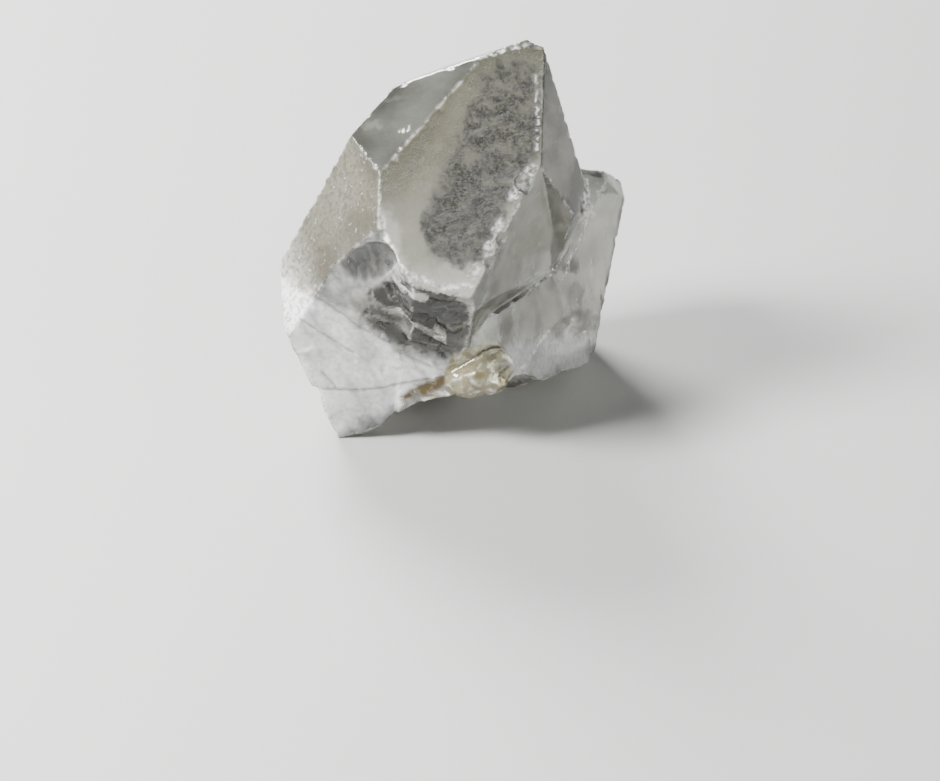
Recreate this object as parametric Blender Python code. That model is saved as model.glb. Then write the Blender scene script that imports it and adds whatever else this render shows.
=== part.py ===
"""Quartz crystal: a leaning six-sided crystal grown into a second, nearly upright one, standing on its broken base.

Metres, +Z up, the front towards -Y. The origin is at the middle of the footprint, on the surface it stands on.
Dimensions are in millimetres, and the finished shape is brought to metres at the end.
"""

import math

import bmesh
import bpy
from mathutils import Matrix, Vector, noise

MM = 0.001
STOCK = 45.0

# quartz's own angles: its sloping end faces stand 51.79 degrees away from the long axis
END_FACE_ANGLE = math.radians(51.79)

# leaning crystal: the face that looks to the front is at azimuth 0, and the azimuth grows to the right
MAIN_LEAN = math.radians(28.2)
MAIN_CENTRE = Vector((0.0, -2.6, 24.7))
MAIN_SIDE_FACES = {0: 19.0, 60: 10.1, 120: 13.0, 180: 18.0, 240: 15.7, 300: 19.3}
MAIN_END_FACES = {0: 12.8, 60: 13.2, 120: 16.4, 180: 19.5, 240: 20.7, 300: 19.5}

# second crystal, nearly upright, that makes the lower front and the lower right
SECOND_LEAN = math.radians(5.0)
SECOND_TURN = -2.4
SECOND_SIDE_FACES = {0: 14.2, 60: 12.0, 120: 17.5, 180: 15.5, 240: 14.0, 300: 15.0}
SECOND_TOP = 17.5

# third crystal, small, at the back right
THIRD_LEAN = math.radians(13.0)
THIRD_TIP_BACK = math.radians(17.0)
THIRD_CENTRE = Vector((11.2, 14.6, 8.8))
THIRD_TURN = 56.8
THIRD_SIDE_FACES = {0: 7.0, 60: 5.4, 120: 3.5, 180: 5.0, 240: 8.0, 300: 18.0}

# stained lump on the front of the base
LUMP_CENTRE = Vector((1.3, -13.2, 9.1))
LUMP_RADII = Vector((4.4, 3.4, 3.4))
LUMP_TILT = (0, -25, 0)

# shell-shaped hollows in the base: centre, half sizes, tilt about x, y and z
BASE_HOLLOWS = [
    ((2.0, -12.0, -2.0), (15.0, 13.0, 9.0), (0, 0, 0)),
    ((-24.0, 10.0, -2.0), (12.0, 11.0, 9.0), (0, 0, 20)),
    ((4.0, 21.0, -1.0), (15.0, 8.0, 7.0), (0, 0, -8)),
]

# chips off the edges: centre, half sizes, tilt about x, y and z
CHIPS = [
    ((-10.7, -19.2, 31.0), (1.9, 1.5, 2.1), (0, 0, -30)),
    ((8.2, -9.4, 34.2), (2.0, 1.1, 1.4), (0, 30, 0)),
    ((4.7, -14.2, 28.7), (0.8, 0.9, 1.0), (0, 0, 0)),
    ((3.2, -16.4, 26.6), (0.9, 0.8, 1.1), (0, 0, 0)),
    ((9.6, 0.9, 49.3), (1.6, 1.2, 0.9), (0, 25, 0)),
    ((5.6, -0.2, 50.0), (1.5, 1.0, 0.7), (0, -15, 0)),
    ((15.7, -0.6, 26.3), (1.2, 1.0, 1.3), (0, 0, 0)),
]


def looking(azimuth, rise):
    """A unit vector: azimuth 0 is the front (-Y) and 90 the right (+X), rise is above the horizontal."""
    a = math.radians(azimuth)
    r = math.radians(rise)
    return Vector((math.sin(a) * math.cos(r), -math.cos(a) * math.cos(r), math.sin(r)))


def rough(point, seed, wave, depth):
    """Uneven height of a broken surface at a point, from three sizes of wave."""
    p = point / wave + Vector((seed * 3.1, seed * 1.7, seed * 5.3))
    broad = noise.noise(p)
    middle = noise.noise(p * 2.3)
    fine = noise.noise(p * 5.1)
    return (broad + 0.45 * middle + 0.2 * fine) * depth


def slice_off(bm, point, normal):
    """Cut a convex body along a plane, drop the side the normal looks at, and close the cut."""
    geometry = bm.verts[:] + bm.edges[:] + bm.faces[:]
    cut = bmesh.ops.bisect_plane(bm, geom=geometry, plane_co=point, plane_no=normal, clear_outer=True)
    rim = [e for e in cut["geom_cut"] if isinstance(e, bmesh.types.BMEdge)]
    bmesh.ops.edgeloop_fill(bm, edges=rim)
    bmesh.ops.recalc_face_normals(bm, faces=bm.faces[:])


def object_from(bm, name, collection):
    mesh = bpy.data.meshes.new(name)
    bm.to_mesh(mesh)
    bm.free()
    obj = bpy.data.objects.new(name, mesh)
    collection.objects.link(obj)
    return obj


def grown_crystal(name, collection, sides, ends, frame, turn=0.0, top=None):
    """A hexagonal prism whose side faces stand at their own distances from the axis, with sloping end faces."""
    bm = bmesh.new()
    bmesh.ops.create_cone(bm, cap_ends=True, segments=6, radius1=STOCK, radius2=STOCK, depth=STOCK * 2)
    for azimuth, distance in sides.items():
        normal = looking(azimuth + turn, 0)
        slice_off(bm, normal * distance, normal)
    for azimuth, distance in ends.items():
        normal = looking(azimuth + turn, 0) * math.sin(END_FACE_ANGLE)
        normal.z = math.cos(END_FACE_ANGLE)
        slice_off(bm, normal * distance, normal)
    if top is not None:
        slice_off(bm, Vector((0, 0, top)), Vector((0, 0, 1)))
    bmesh.ops.transform(bm, matrix=frame, verts=bm.verts[:])
    return object_from(bm, name, collection)


def broken_block(name, collection, point, normal, size, cuts, wave, depth, seed):
    """A block whose near face is an uneven break: it is taken away from a body, and its near face stays on it."""
    bm = bmesh.new()
    bmesh.ops.create_cube(bm, size=size)
    bmesh.ops.translate(bm, vec=(0, 0, size / 2), verts=bm.verts[:])
    under = min(bm.faces, key=lambda f: f.calc_center_median().z)
    bmesh.ops.subdivide_edges(bm, edges=under.edges[:], cuts=cuts, use_grid_fill=True)
    turn = normal.to_track_quat("Z", "Y").to_matrix().to_4x4()
    bmesh.ops.transform(bm, matrix=Matrix.Translation(point) @ turn, verts=bm.verts[:])
    for v in bm.verts:
        if abs((v.co - Vector(point)).dot(normal)) < 0.01:
            v.co += normal * rough(v.co, seed, wave, depth)
    bmesh.ops.triangulate(bm, faces=bm.faces[:])
    return object_from(bm, name, collection)


def knob(name, collection, centre, radii, seed, detail=3, wave=2.5, depth=0.25, tilt=(0, 0, 0)):
    """An uneven ball: a lump when it is joined on, a shell-shaped hollow or a chip when it is taken away."""
    bm = bmesh.new()
    bmesh.ops.create_icosphere(bm, subdivisions=detail, radius=1.0)
    bmesh.ops.scale(bm, vec=radii, verts=bm.verts[:])
    bmesh.ops.rotate(bm, cent=(0, 0, 0), matrix=Matrix.Rotation(math.radians(tilt[2]), 3, "Z")
                     @ Matrix.Rotation(math.radians(tilt[1]), 3, "Y")
                     @ Matrix.Rotation(math.radians(tilt[0]), 3, "X"), verts=bm.verts[:])
    for v in bm.verts:
        out = v.co.normalized()
        v.co += out * rough(v.co, seed, wave, depth)
    bmesh.ops.translate(bm, vec=centre, verts=bm.verts[:])
    return object_from(bm, name, collection)


def combine(target, other, operation):
    """Boolean the second object into the first one and keep the result as the first one's mesh."""
    change = target.modifiers.new(operation.lower(), "BOOLEAN")
    change.operation = operation
    change.solver = "EXACT"
    change.object = other
    bpy.context.view_layer.update()
    evaluated = target.evaluated_get(bpy.context.evaluated_depsgraph_get())
    mesh = bpy.data.meshes.new_from_object(evaluated)
    target.modifiers.clear()
    old = target.data
    target.data = mesh
    bpy.data.meshes.remove(old)
    mesh.name = target.name
    other.hide_render = True
    other.display_type = "WIRE"
    other.hide_set(True)


for old in list(bpy.data.objects):
    bpy.data.objects.remove(old)

crystal_parts = bpy.data.collections.new("Quartz crystal")
cutters = bpy.data.collections.new("Cutters")
bpy.context.scene.collection.children.link(crystal_parts)
bpy.context.scene.collection.children.link(cutters)

# Leaning crystal with the pointed end
main_frame = Matrix.Translation(MAIN_CENTRE) @ Matrix.Rotation(MAIN_LEAN, 4, "Y")
quartz = grown_crystal("quartz_crystal", crystal_parts, MAIN_SIDE_FACES, MAIN_END_FACES, main_frame)

# Front left, broken away below the front end face: an upright wall under two overhanging breaks
front_wall = broken_block("front_wall", cutters, (-10.0, -13.7, 10.0), looking(-2.4, -3.5), 56, 26, 7, 0.3, 1)
overhang = broken_block("overhang", cutters, (-3.6, -20.3, 24.6), looking(-3.0, -29.2), 56, 24, 6, 0.35, 2)
front_hollow = broken_block("front_hollow", cutters, (-10.0, -13.7, 10.0), looking(-2.4, -3.5), 56, 26, 7, 0.3, 1)
side_overhang = broken_block("side_overhang", cutters, (-9.0, -19.4, 29.6), looking(-60, -13.8), 56, 24, 6, 0.3, 3)
hollow_roof = broken_block("hollow_roof", cutters, (-10.9, -17.9, 32.8), looking(0, -27.6), 56, 24, 5, 0.3, 18)
combine(front_wall, overhang, "INTERSECT")
combine(front_hollow, side_overhang, "INTERSECT")
combine(front_hollow, hollow_roof, "INTERSECT")
combine(quartz, front_wall, "DIFFERENCE")
combine(quartz, front_hollow, "DIFFERENCE")

# Right side below the end face, set back beside a small overhanging face
right_wall = broken_block("right_wall", cutters, (9.85, -7.4, 36.2), looking(58.8, -7.5), 56, 26, 7, 0.16, 4)
ledge_face = broken_block("ledge_face", cutters, (9.5, -7.6, 36.1), looking(-2.9, -25.9), 90, 1, 8, 0.0, 5)
combine(right_wall, ledge_face, "INTERSECT")
combine(quartz, right_wall, "DIFFERENCE")

# Second crystal, with its uneven front right face and a break down the corner before it
second_frame = Matrix.Rotation(SECOND_LEAN, 4, "Y")
second = grown_crystal("second_crystal", cutters, SECOND_SIDE_FACES, {}, second_frame, SECOND_TURN, SECOND_TOP)
lower_right = broken_block("lower_right", cutters, (9.3, -3.2, 8.4), looking(60.2, 1.4), 50, 22, 8, 0.35, 6)
corner_break = broken_block("corner_break", cutters, (1.0, -14.2, 10.0), looking(30, 3), 50, 20, 6, 0.25, 11)
combine(second, lower_right, "DIFFERENCE")
combine(second, corner_break, "DIFFERENCE")

# Third crystal: its front left face makes an upright groove with the second one, its shoulder is worn
third_frame = (Matrix.Translation(THIRD_CENTRE) @ Matrix.Rotation(THIRD_LEAN, 4, "Y")
               @ Matrix.Rotation(-THIRD_TIP_BACK, 4, "X"))
third = grown_crystal("third_crystal", cutters, THIRD_SIDE_FACES, {}, third_frame, THIRD_TURN)
third_front = broken_block("third_front", cutters, (12.0, 1.7, 13.4), looking(35.5, -9.0), 50, 16, 6, 0.12, 10)
third_slope = broken_block("third_slope", cutters, (19.6, 15.1, 21.8), looking(86, 24), 40, 16, 4, 0.2, 7)
third_shoulder = broken_block("third_shoulder", cutters, (15.9, 10.6, 23.4), looking(24, 45), 40, 18, 3, 0.25, 8)
third_back = broken_block("third_back", cutters, (17.0, 13.2, 25.1), looking(172, 52), 40, 14, 4, 0.3, 9)
combine(third, third_front, "DIFFERENCE")
combine(third, third_slope, "DIFFERENCE")
combine(third, third_shoulder, "DIFFERENCE")
combine(third, third_back, "DIFFERENCE")
combine(second, third, "UNION")

combine(quartz, second, "UNION")

# Stained lump
lump = knob("lump", cutters, LUMP_CENTRE, LUMP_RADII, 9, 3, 3.0, 0.8, LUMP_TILT)
combine(quartz, lump, "UNION")

# Broken left side, with a small ledge low down
left_break = broken_block("left_break", cutters, (-21.3, -12.9, 10.0), looking(-90, -22), 60, 26, 7, 0.45, 12)
left_cut = broken_block("left_cut", cutters, (-24.1, -8.0, 19.5), looking(-92, -4), 60, 24, 6, 0.25, 13)
left_ledge = broken_block("left_ledge", cutters, (-18.9, -12.0, 4.0), looking(-90, -12), 30, 14, 4, 0.2, 14)
ledge_roof = broken_block("ledge_roof", cutters, (-20.0, -12.0, 7.6), looking(-60, -78), 30, 10, 4, 0.15, 15)
combine(left_ledge, ledge_roof, "INTERSECT")
combine(quartz, left_break, "DIFFERENCE")
combine(quartz, left_cut, "DIFFERENCE")
combine(quartz, left_ledge, "DIFFERENCE")

# Broken underside: it slopes up to the front right, with shell-shaped hollows, and the rest is the foot
underside = broken_block("underside", cutters, (0.0, -2.8, 0.0), looking(30.4, -59.4), 60, 26, 8, 0.5, 16)
combine(quartz, underside, "DIFFERENCE")
for number, (centre, radii, tilt) in enumerate(BASE_HOLLOWS):
    hollow = knob(f"base_hollow_{number}", cutters, centre, radii, 20 + number, 4, 5.0, 0.5, tilt)
    combine(quartz, hollow, "DIFFERENCE")
floor_cut = broken_block("floor_cut", cutters, (0.0, 0.0, 0.0), Vector((0, 0, -1)), 90, 1, 9, 0.0, 17)
combine(quartz, floor_cut, "DIFFERENCE")

# Chips along the edges
for number, (centre, radii, tilt) in enumerate(CHIPS):
    chip = knob(f"chip_{number}", cutters, centre, radii, 40 + number, 2, 1.2, 0.22, tilt)
    combine(quartz, chip, "DIFFERENCE")

# Seat the origin under the middle of the footprint, and bring everything to metres
corners = [v.co for v in quartz.data.vertices]
middle_x = (min(c.x for c in corners) + max(c.x for c in corners)) / 2
middle_y = (min(c.y for c in corners) + max(c.y for c in corners)) / 2
lowest = min(c.z for c in corners)
seat = Matrix.Scale(MM, 4) @ Matrix.Translation((-middle_x, -middle_y, -lowest))
for obj in [quartz, *cutters.objects]:
    obj.data.transform(seat)

material = bpy.data.materials.new("quartz")
material.use_nodes = True
shader = material.node_tree.nodes["Principled BSDF"]
shader.inputs["Base Color"].default_value = (0.83, 0.82, 0.77, 1.0)
shader.inputs["Roughness"].default_value = 0.18
shader.inputs["Metallic"].default_value = 0.0
quartz.data.materials.clear()
quartz.data.materials.append(material)
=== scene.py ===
"""Dresses the quartz crystal: a fine skin over its faces, its milky and stained body, and its stage."""

import math

import bmesh
import bpy
from mathutils import Matrix, Vector, kdtree, noise
from mathutils.bvhtree import BVHTree


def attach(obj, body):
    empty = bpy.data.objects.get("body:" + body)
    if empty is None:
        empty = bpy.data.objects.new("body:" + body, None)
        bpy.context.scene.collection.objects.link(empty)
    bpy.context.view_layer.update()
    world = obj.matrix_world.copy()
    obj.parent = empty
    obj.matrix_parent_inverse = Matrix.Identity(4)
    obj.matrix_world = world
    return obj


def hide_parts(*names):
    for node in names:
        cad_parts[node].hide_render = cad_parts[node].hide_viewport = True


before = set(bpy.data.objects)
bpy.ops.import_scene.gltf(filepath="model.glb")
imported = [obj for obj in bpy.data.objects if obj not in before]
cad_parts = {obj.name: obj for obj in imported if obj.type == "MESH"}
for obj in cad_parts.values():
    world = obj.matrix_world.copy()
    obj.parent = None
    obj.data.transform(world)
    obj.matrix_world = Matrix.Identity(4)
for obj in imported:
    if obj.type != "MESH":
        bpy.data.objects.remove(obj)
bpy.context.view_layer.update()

# Camera. The crystal is seen from above its front with a long lens, at the photograph's angle.
# It aims at the point of the table in the middle of the picture, and is rolled by a degree or so.
CAMERA_AIM = Vector((0.00166, -0.00037, 0.0))
CAMERA_RISE = math.radians(27.05)
CAMERA_ROLL = math.radians(-1.37)
CAMERA_DISTANCE = 1.95
CAMERA_LENS = 574.5

away = Vector((0, -math.cos(CAMERA_RISE), math.sin(CAMERA_RISE)))
camera_data = bpy.data.cameras.new("camera")
camera_data.lens = CAMERA_LENS
camera_data.clip_end = 10
camera = bpy.data.objects.new("camera", camera_data)
bpy.context.scene.collection.objects.link(camera)
camera.matrix_world = (Matrix.Translation(CAMERA_AIM + away * CAMERA_DISTANCE)
                       @ (-away).to_track_quat("-Z", "Y").to_matrix().to_4x4()
                       @ Matrix.Rotation(CAMERA_ROLL, 4, "Z"))
bpy.context.scene.camera = camera

# Quartz skin. The real thing is one natural piece, so one skin covers the whole solid: flat glossy
# crystal faces, grainy prism faces, glassy shell-shaped breaks and edges worn by small chips.
# It is remeshed finely, laid back on the solid, and then moved by what each kind of surface shows.
MM = 0.001
SKIN_CELL = 0.00026
END_FACE_ANGLE = math.radians(51.79)
CRYSTAL_FRAMES = {
    "leaning": (Matrix.Rotation(math.radians(28.2), 3, "Y"), 0.0),
    "second": (Matrix.Rotation(math.radians(5.0), 3, "Y"), -2.4),
}
SAME_FACE = math.cos(math.radians(0.8))
EDGE_ANGLE = math.radians(16)
noise.seed_set(3)
EDGE_STEP = 0.35 * MM
EDGE_REACH = 0.8 * MM
EDGE_LINE = 0.45 * MM
LUMP = Vector((2.9, -13.6, 9.1))
LUMP_OUTER, LUMP_INNER = 5.0, 4.2
DEEPEST, HIGHEST = -1.6, 0.10


def looking(azimuth, rise):
    """A unit vector: azimuth 0 is the front (-Y) and 90 the right (+X), rise is above the horizontal."""
    a, r = math.radians(azimuth), math.radians(rise)
    return Vector((math.sin(a) * math.cos(r), -math.cos(a) * math.cos(r), math.sin(r)))


def side_face(crystal, azimuth):
    turn, spin = CRYSTAL_FRAMES[crystal]
    return turn @ looking(azimuth + spin, 0)


def end_face(crystal, azimuth):
    turn, spin = CRYSTAL_FRAMES[crystal]
    flat = looking(azimuth + spin, 0) * math.sin(END_FACE_ANGLE)
    return turn @ (flat + Vector((0, 0, math.cos(END_FACE_ANGLE))))


FACES = {
    "front end": end_face("leaning", 0),
    "left end": end_face("leaning", 300),
    "right end": end_face("leaning", 60),
    "back end": end_face("leaning", 180),
    "back right end": end_face("leaning", 120),
    "back left end": end_face("leaning", 240),
    "left side": side_face("leaning", 300),
    "back left side": side_face("leaning", 240),
    "back side": side_face("leaning", 180),
    "right side": side_face("leaning", 60),
    "back right side": side_face("leaning", 120),
}


def fade(value, low, high):
    """0 below low, 1 above high, smooth between them; low may be the larger one."""
    t = max(0.0, min(1.0, (value - low) / (high - low)))
    return t * t * (3 - 2 * t)


def inside(point, corners, soft):
    """1 inside a convex outline of the front view, fading over the width soft at its rim."""
    middle = sum((Vector(c) for c in corners), Vector((0, 0))) / len(corners)
    reach = 1.0
    for first, second in zip(corners, corners[1:] + corners[:1]):
        along = (Vector(second) - Vector(first)).normalized()
        across = Vector((along.y, -along.x))
        if across.dot(middle - Vector(first)) < 0:
            across = -across
        reach = min(reach, fade(across.dot(point - Vector(first)), -soft, soft))
    return reach


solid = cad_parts["quartz_crystal"]
shape = bmesh.new()
shape.from_mesh(solid.data)
bmesh.ops.transform(shape, matrix=solid.matrix_world, verts=shape.verts[:])
bmesh.ops.remove_doubles(shape, verts=shape.verts[:], dist=1e-7)
shape.normal_update()
tree = BVHTree.FromBMesh(shape)

edge_points = []
for edge in shape.edges:
    if len(edge.link_faces) == 2 and edge.calc_face_angle(0) > EDGE_ANGLE:
        a, b = edge.verts[0].co, edge.verts[1].co
        steps = max(1, int((b - a).length / EDGE_STEP))
        convex = edge.is_convex
        edge_points += [(a.lerp(b, i / steps), convex) for i in range(steps + 1)]
edge_tree = kdtree.KDTree(len(edge_points))
for number, (point, convex) in enumerate(edge_points):
    edge_tree.insert(point, number)
edge_tree.balance()

coarse = bpy.data.meshes.new("skin_coarse")
shape.to_mesh(coarse)
shape.free()
coarse_object = bpy.data.objects.new("skin_coarse", coarse)
bpy.context.scene.collection.objects.link(coarse_object)
remesh = coarse_object.modifiers.new("cells", "REMESH")
remesh.mode = "VOXEL"
remesh.voxel_size = SKIN_CELL
evaluated = coarse_object.evaluated_get(bpy.context.evaluated_depsgraph_get())
skin_mesh = bpy.data.meshes.new_from_object(evaluated)
bpy.data.objects.remove(coarse_object)
bpy.data.meshes.remove(coarse)
skin_mesh.name = "quartz_skin"
skin = bpy.data.objects.new("quartz_skin", skin_mesh)
bpy.context.scene.collection.objects.link(skin)

# Where the front shows each mark, as seen from the camera: steps of 0.13 mm across and down, with
# (470, 390.5) at the point the camera aims at. Lines are two ends and a width, spots a middle,
# a half width, a half height and a strength.
MOTTLED = [(490, 56), (537, 64), (539, 150), (505, 217), (480, 266), (440, 268), (417, 222), (437, 168),
           (466, 113)]
FRACTURE = [(392, 276), (430, 284), (468, 305), (478, 350), (440, 362), (400, 350), (362, 318),
            (372, 292)]
# Base and foot outlines: painted glow of the backlight, where light from behind comes through the milky base
# as near white.
BACKLIT_BASE = [(272, 270), (318, 292), (372, 330), (425, 362), (452, 378), (400, 402), (340, 440),
              (300, 400)]
BACKLIT_FOOT = [(478, 352), (560, 330), (592, 340), (600, 372), (470, 392)]
PIT = (370, 262, 27, 19)
# Ridge lines: painted highlights along lit ridges, with some white chipped edges among them.
RIDGE_CHIPS_AND_GLINTS = [((533, 170), (515, 196), 8.5), ((521, 205), (498, 232), 2.6), ((501, 222), (496, 230), 5.5),
                 ((498, 232), (484, 262), 2.8), ((489, 244), (487, 250), 5.0), ((476, 268), (472, 276), 5.5),
                 ((383, 232), (400, 268), 2.6), ((400, 268), (440, 288), 4.2), ((440, 288), (472, 284), 4.2),
                 ((585, 196), (590, 214), 6.5), ((586, 175), (588, 200), 2.2), ((470, 60), (533, 42), 3.2),
                 ((520, 372), (548, 332), 1.8), ((537, 75), (537, 150), 1.4), ((402, 132), (408, 128), 3.4),
                 ((384, 215), (384, 232), 2.4), ((592, 214), (560, 282), 1.6)]
CRACKS = [((316, 296), (362, 328), 1.0), ((362, 328), (394, 345), 1.2), ((320, 388), (366, 390), 0.8),
          ((366, 390), (442, 376), 0.8), ((404, 345), (452, 357), 1.0), ((398, 352), (430, 366), 0.9),
          ((380, 300), (392, 318), 1.0), ((300, 318), (352, 352), 0.7), ((512, 138), (536, 158), 0.8),
          ((402, 322), (440, 352), 0.8), ((322, 372), (336, 388), 0.8), ((470, 114), (473, 132), 0.8)]
# Dark spots are dark inclusions and patches, except the strongest at (568, 264), which is painted shade in
# the notch under an overhang.
DARK_SPOTS_AND_NOTCH_SHADE = [((372, 126), 12, 4, 0.35), ((393, 99), 12, 4, 0.28), ((568, 264), 12, 7, 1.0),
              ((578, 296), 9, 20, 0.5), ((553, 110), 7, 22, 0.35), ((532, 268), 10, 10, 0.22),
              ((459, 140), 6, 4, 0.7), ((497, 58), 7, 4, 0.6), ((470, 258), 9, 10, 0.5),
              ((447, 206), 6, 12, 0.4), ((430, 190), 7, 6, 0.35)]
STAIN_WEDGE = [(398, 398), (420, 384), (447, 372), (448, 384), (430, 396), (405, 402)]
PALE_LEFT = ((383, 215), (398, 270))
STAINED_RIM = [((430, 400), (470, 397)), ((470, 397), (530, 381))]
RUST_SPECK = Vector((320.5, 249))
PICTURE_MIDDLE = Vector((470, 390.5))
PICTURE_SCALE = 15000
FROM_CAMERA = camera.matrix_world.inverted()

# Tones of each kind of surface, darker and lighter, as red, green and blue.
GRAINY_TONES = (0.115, 0.105, 0.072), (0.24, 0.225, 0.17)
GRAINY_BACKLIT_TONE = (0.78, 0.76, 0.69)
FRONT_TONES = (0.22, 0.212, 0.145), (0.42, 0.41, 0.32)
FRONT_RIM_TONE = (0.80, 0.79, 0.72)
MOTTLED_TONES = (0.018, 0.018, 0.016), (0.11, 0.105, 0.075)
CLEAR_TONES = (0.10, 0.104, 0.092), (0.27, 0.275, 0.245)
GREY_TONES = (0.13, 0.134, 0.126), (0.32, 0.32, 0.30)
BREAK_TONES = (0.34, 0.345, 0.335), (0.78, 0.78, 0.76)
SMOOTH_BREAK_TONES = (0.18, 0.183, 0.175), (0.42, 0.43, 0.41)
RIGHT_BREAK_TONE = (0.26, 0.25, 0.205)
FRACTURE_SHADED_AND_LIT_TONES = (0.012, 0.012, 0.011), (0.62, 0.62, 0.57)
PIT_SHADE_TONES = (0.03, 0.031, 0.03), (0.26, 0.265, 0.25)
BACKLIT_WHITE_TONE = (0.99, 0.99, 0.985)
DARK_AND_SHADE_TONE = (0.05, 0.045, 0.038)
LUMP_TONE = (0.50, 0.46, 0.27)
SPECK_TONE = (0.05, 0.028, 0.012)
GRAINY_FACES = ("left side", "back left side", "back side", "back right side")
CLEAR_FACES = ("left end", "back left end", "back end", "back right end")


def seen(point):
    """Where the camera sees a point, in the steps used above."""
    local = FROM_CAMERA @ point
    return PICTURE_MIDDLE + Vector((-local.x, local.y)) * (PICTURE_SCALE / local.z)


def along_line(point, first, second):
    """Distance from a point of the picture to a line on it."""
    first, second = Vector(first), Vector(second)
    run = second - first
    t = max(0.0, min(1.0, (point - first).dot(run) / run.length_squared))
    return (point - first - run * t).length


def plates(point, size):
    """Height over flat plates that lie at random tilts, as in a splintered break, and which plate it is."""
    gaps, centres = noise.voronoi(point / size)
    tilt = noise.cell_vector(centres[0] * 7.3) - Vector((0.5, 0.5, 0.5))
    return (point / size - centres[0]).dot(tilt) * 2, noise.cell(centres[0] * 5.1)


def blend(first, second, amount):
    return [a + (b - a) * amount for a, b in zip(first, second)]


def wander(point, wave):
    """A shift across and down that changes slowly over the surface."""
    return Vector((noise.noise(point * wave), noise.noise(point * wave + Vector((5, 5, 5)))))


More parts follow.
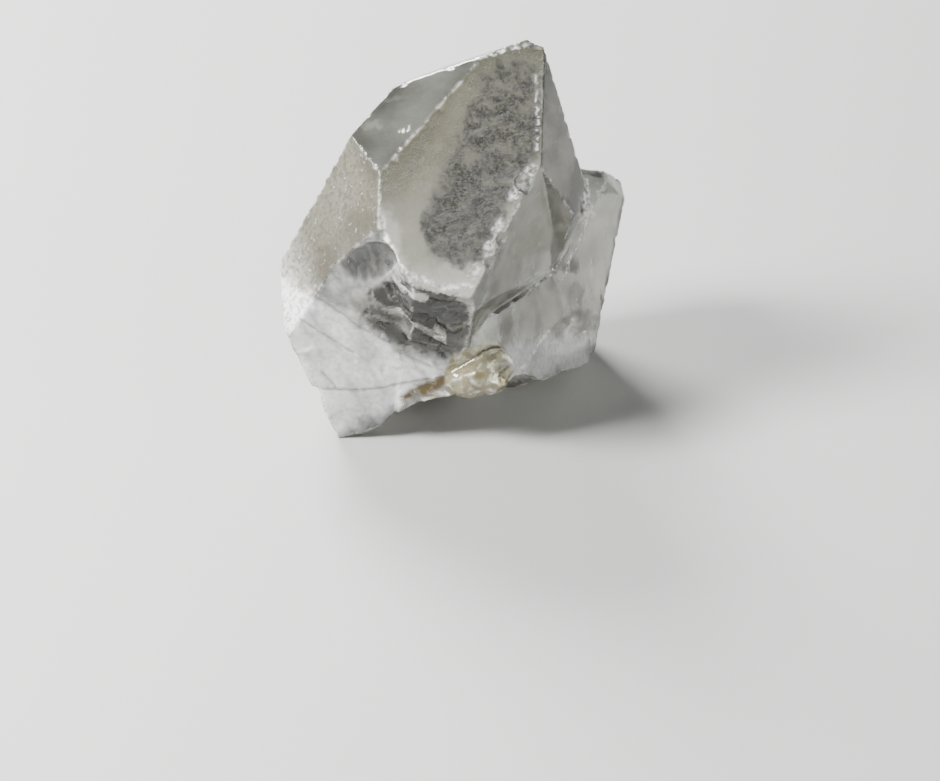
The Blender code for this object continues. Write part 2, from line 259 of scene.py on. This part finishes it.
tones = skin_mesh.attributes.new("tones", "FLOAT_COLOR", "POINT")
zones = skin_mesh.attributes.new("zones", "FLOAT_COLOR", "POINT")
tone_values = []
zone_values = []
moved = []
normals = [v.normal.copy() for v in skin_mesh.vertices]
for vertex, normal in zip(skin_mesh.vertices, normals):
    spot, near_normal, index, gap = tree.find_nearest(vertex.co)
    edge_spot, edge_number, edge_gap = edge_tree.find(vertex.co)
    convex = edge_points[edge_number][1]
    p = spot / MM
    co = spot.copy() if edge_gap > EDGE_STEP else vertex.co.copy()
    kind = max(FACES, key=lambda name: FACES[name].dot(near_normal))
    grown = FACES[kind].dot(near_normal) > SAME_FACE
    at_front = p.y < 3 or p.x > 8 or p.z > 30
    shown = fade(near_normal.dot(away), -0.05, 0.2) if at_front else 0.0
    jitter = wander(p, 0.45) * 7 + wander(p, 1.5) * 4
    place_seen = seen(spot)
    loose = place_seen + jitter
    streak = 0.0
    # uneven bites out of the convex edges
    wear = fade(edge_gap, EDGE_REACH, 0.0) if convex and p.z > 0.6 else 0.0
    bite = noise.noise(p * 0.8 + Vector((3, 7, 1))) + 0.7 * noise.noise(p * 2.0)
    out = -wear * max(0.0, bite) * 0.34
    chips_and_glints = fade(edge_gap, EDGE_LINE, 0.05 * MM) * fade(bite, -0.2, 0.5) * 0.55 if wear > 0 else 0.0
    fracture = inside(loose, FRACTURE, 5) * shown if not grown else 0.0
    if grown and kind in GRAINY_FACES:
        # grainy prism faces; the left one painted paler towards the lower left as painted backlight glow
        out += 0.05 * noise.noise(p * 1.1) + 0.035 * noise.noise(p * 2.6)
        frost, clear = 0.62, 0.58
        tone = blend(*GRAINY_TONES, fade(noise.noise(p * 0.16), -0.4, 0.4))
        # painted light: paler towards the lower left, where the backlight glows through
        if kind == "left side":
            tone = blend(tone, GRAINY_BACKLIT_TONE, fade(p.x + 0.5 * p.z, -4, -13))
    elif grown and kind == "front end":
        out += 0.010 * noise.noise(p * 0.6)
        frost, clear = 0.08, 0.58
        tone = blend(*FRONT_TONES, fade(p.z, 41, 31))
    elif grown and kind in CLEAR_FACES:
        out += 0.012 * noise.noise(p * 0.5)
        frost, clear = 0.04, 0.80
        tone = blend(*CLEAR_TONES, fade(noise.noise(p * 0.2), -0.5, 0.5))
    elif grown:
        out += 0.020 * noise.noise(Vector((p.x * 0.3, p.y * 0.3, p.z * 2.2)))
        frost, clear = 0.05, 0.78
        tone = blend(*GREY_TONES, fade(noise.noise(p * 0.25), -0.5, 0.5))
    else:
        # broken faces: low waves and slabs, with the right-hand ones smoother
        shell = noise.noise(p * 0.30 + Vector((9, 2, 4)))
        across_break = Vector((p.x * 0.16, p.y * 0.16, (p.z + 0.3 * p.x) * 0.42))
        step = noise.ridged_multi_fractal(across_break, 0.9, 2.1, 4, 1.0, 2.0)
        smooth_break = fade(p.x, 2.0, 5.0) * fade(p.z, 6, 14)
        out += (0.10 * (step - 1.2) + 0.12 * shell) * (1 - fracture) * (1 - 0.75 * smooth_break)
        frost, clear = 0.22 - 0.10 * smooth_break, 0.62 + 0.10 * smooth_break
        streak = noise.noise(Vector(((p.x + 0.55 * p.z) * 0.9, p.y * 0.4, (p.z - 0.5 * p.x) * 0.12)))
        tone = blend(*BREAK_TONES, fade(noise.noise(p * 0.3) + 0.7 * streak, -0.5, 0.5))
        slab_height = plates(Vector((p.x + 0.5 * p.z, p.y, (p.z - 0.4 * p.x) * 0.5)), 3.8)[0]
        out += 0.12 * slab_height * (1 - fracture) * (1 - smooth_break)
        smooth_tone = blend(*SMOOTH_BREAK_TONES, fade(noise.noise(p * 0.5), -0.4, 0.4))
        tone = blend(tone, smooth_tone, 0.85 * smooth_break)
    if fracture > 0:
        # the splintered break under the front face: plates of two sizes, each painted dark or pale as painted
        # shade and light by its height and a random draw, with painted glints on some
        q = p + noise.noise_vector(p * 0.25) * 1.4
        lie = Vector((q.x * 0.42, q.y * 0.42, q.z + 0.45 * q.x if p.x < 0 else q.z - 0.25 * q.x))
        big_height, big_plate = plates(lie, 2.6)
        small_height, small_plate = plates(lie + Vector((9, 3, 1)), 1.1)
        steps = 1.0 + 0.55 * big_height + 0.3 * small_height
        flakes = 0.9 * (big_plate - 0.5) + 0.8 * (small_plate - 0.5)
        out += fracture * (0.80 * big_height + 0.30 * small_height - 0.25)
        # painted glints: some plates are painted near white as highlights
        glint = fade(flakes, 0.45, 0.75)
        lit = fade(steps + flakes, 0.55, 1.75)
        tone = blend(tone, blend(*FRACTURE_SHADED_AND_LIT_TONES, lit), fracture)
        chips_and_glints = max(chips_and_glints, fracture * glint * 0.7)
        frost = frost + (0.03 - frost) * fracture
        clear = clear + (0.40 + 0.30 * lit - clear) * fracture
    backlit_reach = 0.0 if grown and kind in ("front end", "left end", "right end") else shown
    mottle = 0.0
    if grown and kind == "front end":
        mottle = inside(loose, MOTTLED, 7)
        blots = noise.noise(p * 0.55) + 0.6 * noise.noise(p * 1.3) + 0.04 * (p.z - 37)
        tone = blend(tone, blend(*MOTTLED_TONES, fade(blots, -0.35, 0.6)), 0.95 * mottle)
        pale_rim = fade(along_line(loose, *PALE_LEFT), 16, 3)
        tone = blend(tone, FRONT_RIM_TONE, max(pale_rim, fade(loose.y, 255, 285)) * 0.8)
    # painted light: near-white glow of the backlight through the milky base, with less transmission there
    backlit_white = max(inside(loose, BACKLIT_BASE, 9), inside(loose, BACKLIT_FOOT, 14) * 0.9) * backlit_reach * (1 - fracture)
    tone = blend(tone, BACKLIT_WHITE_TONE, backlit_white * (0.97 + 0.9 * min(0.0, streak + 0.1)))
    clear -= 0.30 * backlit_white
    if near_normal.x > 0.3 and p.x > 8 and not grown:
        tone = blend(tone, RIGHT_BREAK_TONE, 0.6 * (1 - backlit_white))
    pit_x, pit_y, pit_wide, pit_high = PIT
    off_pit = place_seen + jitter * 0.25 - Vector((pit_x, pit_y))
    lean_x, lean_y = off_pit.x * 0.93 - off_pit.y * 0.36, off_pit.x * 0.36 + off_pit.y * 0.93
    round_pit = (lean_x / pit_wide) ** 2 + (lean_y / pit_high) ** 2
    # painted shade inside the pit, and a painted highlight on one side of its rim
    if shown > 0.5 and p.x < -2 and round_pit < 2.0:
        cup = fade(round_pit, 1.25, 0.55)
        grooves = noise.noise(Vector((lean_x * 0.22, lean_y * 0.07, 3.0)))
        out -= cup * (0.55 - 0.3 * round_pit + 0.12 * grooves)
        tone = blend(tone, blend(*PIT_SHADE_TONES, fade(grooves, -0.3, 0.5)), cup * 0.85)
        frost = frost * (1 - cup) + 0.06 * cup
        clear = clear * (1 - cup) + 0.50 * cup
        rim = fade(abs(round_pit - 1.1), 0.2, 0.03) * fade(lean_x, -5, 12)
        chips_and_glints = max(chips_and_glints, rim * 0.35)
    # painted highlight: ridge lines painted near white, mixed with white chipped ridges
    for first, second, wide in RIDGE_CHIPS_AND_GLINTS:
        near = along_line(place_seen + jitter * 0.35, first, second)
        broken_up = fade(noise.noise(p * 1.7) + 0.6 * noise.noise(p * 3.7), -0.25, 0.15)
        line = fade(near, wide, wide * 0.3) * shown * broken_up
        if line > 0:
            chips_and_glints = max(chips_and_glints, line)
            out -= line * (0.12 + 0.16 * noise.noise(p * 3.0))
    dark = 0.0
    for first, second, wide in CRACKS:
        near = along_line(place_seen + jitter * 0.2, first, second)
        dark = max(dark, fade(near, wide + 1.6, wide * 0.4) * shown * 0.75)
    # dark inclusions, plus painted shade in the notch under the overhang
    for (at_x, at_y), wide, high, depth in DARK_SPOTS_AND_NOTCH_SHADE:
        round_spot = math.hypot((loose.x - at_x) / wide, (loose.y - at_y) / high)
        dark = max(dark, fade(round_spot, 1.3, 0.4) * depth * shown)
    tone = blend(tone, DARK_AND_SHADE_TONE, dark)
    lump = fade((p - LUMP).length, LUMP_OUTER, LUMP_INNER)
    tone = blend(tone, LUMP_TONE, lump)
    frost, clear = frost * (1 - 0.8 * lump), clear + (0.80 - clear) * lump
    out *= 1 - 0.7 * lump
    stain = lump * fade(noise.noise(p * 0.7 + Vector((2, 2, 2))), -0.05, 0.35) * 0.8
    stain = max(stain, inside(place_seen + jitter * 0.3, STAIN_WEDGE, 3.5) * shown)
    rim_line = min(along_line(loose, first, second) for first, second in STAINED_RIM)
    stain = max(stain, fade(rim_line, 9, 2) * shown * 0.7)
    speck = fade((place_seen + jitter * 0.4 - RUST_SPECK).length, 6.0, 2.0) * shown
    tone = blend(tone, SPECK_TONE, speck)
    clear *= 1 - 0.8 * speck
    out = max(DEEPEST, min(0.0 if p.z < 0.3 else HIGHEST, out))
    hold = fade(p.z, 0.02, 0.5)
    target = co + normal * out * hold * MM
    moved.append(Vector((target.x, target.y, max(0.0, target.z))))
    clear = (clear - 0.45 * chips_and_glints) * (1 - 0.97 * dark) * (1 - 0.75 * mottle)
    tone_values += [*tone, max(0.03, clear)]
    zone_values += [frost, mottle, chips_and_glints, stain]
for vertex, target in zip(skin_mesh.vertices, moved):
    vertex.co = target
tones.data.foreach_set("color", tone_values)
zones.data.foreach_set("color", zone_values)
skin_mesh.shade_smooth()

# Quartz finish. Clear to milky silica, glossy where a face grew and frosted where it broke, with
# mottled dark patches under the front face, and iron stain of a yellow brown at the base.
quartz = bpy.data.materials.new("quartz_finish")
quartz.use_nodes = True
nodes, links = quartz.node_tree.nodes, quartz.node_tree.links
shader = nodes["Principled BSDF"]
shader.inputs["IOR"].default_value = 1.544
shader.inputs["Specular IOR Level"].default_value = 0.5


def node(kind, **values):
    made = nodes.new(kind)
    for name, value in values.items():
        setattr(made, name, value)
    return made


def mix(factor, first, second):
    made = node("ShaderNodeMix", data_type="RGBA")
    for socket, value in (("Factor", factor), ("A", first), ("B", second)):
        target = [s for s in made.inputs if s.name == socket and (s.type == "RGBA" or socket == "Factor")][0]
        if hasattr(value, "links"):
            links.new(value, target)
        elif socket == "Factor":
            target.default_value = value
        else:
            target.default_value = (*value, 1.0)
    return [s for s in made.outputs if s.type == "RGBA"][0]


def number(operation, first, second):
    made = node("ShaderNodeMath", operation=operation, use_clamp=True)
    for socket, value in zip(made.inputs, (first, second)):
        if hasattr(value, "links"):
            links.new(value, socket)
        else:
            socket.default_value = value
    return made.outputs[0]


def ramp(value, low, high, start=0.0, end=1.0):
    made = node("ShaderNodeMapRange", clamp=True)
    links.new(value, made.inputs["Value"])
    made.inputs["From Min"].default_value = low
    made.inputs["From Max"].default_value = high
    made.inputs["To Min"].default_value = start
    made.inputs["To Max"].default_value = end
    return made.outputs["Result"]


def grain(scale, detail=3.0, rough=0.55):
    made = node("ShaderNodeTexNoise")
    made.inputs["Scale"].default_value = scale
    made.inputs["Detail"].default_value = detail
    made.inputs["Roughness"].default_value = rough
    links.new(place, made.inputs["Vector"])
    return made.outputs["Fac"]


place = node("ShaderNodeTexCoord").outputs["Object"]
zone_attribute = node("ShaderNodeAttribute", attribute_name="zones")
zone = node("ShaderNodeSeparateColor")
links.new(zone_attribute.outputs["Color"], zone.inputs["Color"])
tone_attribute = node("ShaderNodeAttribute", attribute_name="tones")
frost, mottle, chips_and_glints = zone.outputs["Red"], zone.outputs["Green"], zone.outputs["Blue"]
stain, clearness = zone_attribute.outputs["Alpha"], tone_attribute.outputs["Alpha"]
fine = grain(3600, 3.0)
coarse_grain = grain(1700, 4.0, 0.6)
clumps = grain(560, 6.0, 0.66)
cloud = grain(120, 3.0)
flecks = ramp(grain(1900, 4.0, 0.6), 0.48, 0.60)

haze = number("MULTIPLY", ramp(cloud, 0.3, 0.7), 0.05)
colour = mix(haze, tone_attribute.outputs["Color"], (0.90, 0.90, 0.88))
colour = mix(number("MULTIPLY", frost, ramp(coarse_grain, 0.45, 0.62)), colour, (0.09, 0.08, 0.055))
patch = number("MULTIPLY", mottle, ramp(clumps, 0.42, 0.56, 0.15, 0.90))
colour = mix(patch, colour, (0.018, 0.017, 0.015))
colour = mix(number("MULTIPLY", mottle, number("MULTIPLY", flecks, 0.40)), colour, (0.15, 0.14, 0.10))
rust = number("MULTIPLY", stain, ramp(grain(420, 5.0, 0.65), 0.34, 0.52, 0.35, 1.0))
colour = mix(rust, colour, (0.085, 0.06, 0.018))
spark = number("MULTIPLY", ramp(grain(1500, 2.0, 0.5), 0.655, 0.70), ramp(mottle, 0.0, 1.0, 0.4, 0.0))
spark = number("MULTIPLY", spark, ramp(frost, 0.06, 0.12))
colour = mix(spark, colour, (0.95, 0.95, 0.93))
# painted highlights and white chips: ridge, fracture and pit-rim glints are painted highlights; the worn
# edges are white chips
colour = mix(chips_and_glints, colour, (0.98, 0.98, 0.97))
links.new(colour, shader.inputs["Base Color"])

clear = number("MULTIPLY", clearness, ramp(rust, 0.0, 1.0, 1.0, 0.25))
clear = number("MULTIPLY", clear, ramp(patch, 0.0, 1.0, 1.0, 0.15))
links.new(clear, shader.inputs["Transmission Weight"])
gloss = number("ADD", ramp(frost, 0.0, 1.0, 0.04, 0.42), ramp(fine, 0.3, 0.7, 0.0, 0.06))
links.new(gloss, shader.inputs["Roughness"])

relief = number("ADD", number("MULTIPLY", frost, coarse_grain), number("MULTIPLY", fine, 0.15))
relief = number("ADD", relief, number("MULTIPLY", chips_and_glints, fine))
bump = node("ShaderNodeBump")
bump.inputs["Strength"].default_value = 0.45
bump.inputs["Distance"].default_value = 0.00025
links.new(relief, bump.inputs["Height"])
links.new(bump.outputs["Normal"], shader.inputs["Normal"])

body = node("ShaderNodeVolumeAbsorption")
body.inputs["Color"].default_value = (0.80, 0.80, 0.76, 1)
body.inputs["Density"].default_value = 80
links.new(body.outputs["Volume"], nodes["Material Output"].inputs["Volume"])

skin_mesh.materials.clear()
skin_mesh.materials.append(quartz)
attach(skin, "root")
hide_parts("quartz_crystal")

# Stage. A plain pale floor under three soft studio lamps: a key from the left, one from behind
# that lights the clear body through, and a weak fill from the right.
FLOOR_SIZE = 3.0
floor_mesh = bpy.data.meshes.new("floor")
sheet = bmesh.new()
bmesh.ops.create_grid(sheet, x_segments=1, y_segments=1, size=FLOOR_SIZE)
sheet.to_mesh(floor_mesh)
sheet.free()
floor = bpy.data.objects.new("floor", floor_mesh)
bpy.context.scene.collection.objects.link(floor)
floor_paint = bpy.data.materials.new("floor_paint")
floor_paint.use_nodes = True
floor_paint.node_tree.nodes["Principled BSDF"].inputs["Base Color"].default_value = (0.33, 0.33, 0.325, 1)
floor_paint.node_tree.nodes["Principled BSDF"].inputs["Roughness"].default_value = 0.6
floor_mesh.materials.append(floor_paint)

LIGHTS = {
    "key": ((-0.42, -0.10, 0.40), 0.22, 17.0),
    "back": ((-0.20, 0.50, 0.35), 0.25, 13.0),
    "fill": ((0.55, -0.45, 0.30), 0.40, 2.2),
}
for name, (where, size, power) in LIGHTS.items():
    lamp = bpy.data.lights.new(name, "AREA")
    lamp.size = size
    lamp.energy = power
    lamp_object = bpy.data.objects.new(name, lamp)
    bpy.context.scene.collection.objects.link(lamp_object)
    lamp_object.location = where
    lamp_object.rotation_euler = (Vector((0, 0, 0.02)) - Vector(where)).to_track_quat("-Z", "Y").to_euler()

world = bpy.data.worlds.new("studio")
bpy.context.scene.world = world
world.use_nodes = True
world.node_tree.nodes["Background"].inputs["Color"].default_value = (0.75, 0.77, 0.80, 1)
world.node_tree.nodes["Background"].inputs["Strength"].default_value = 0.32
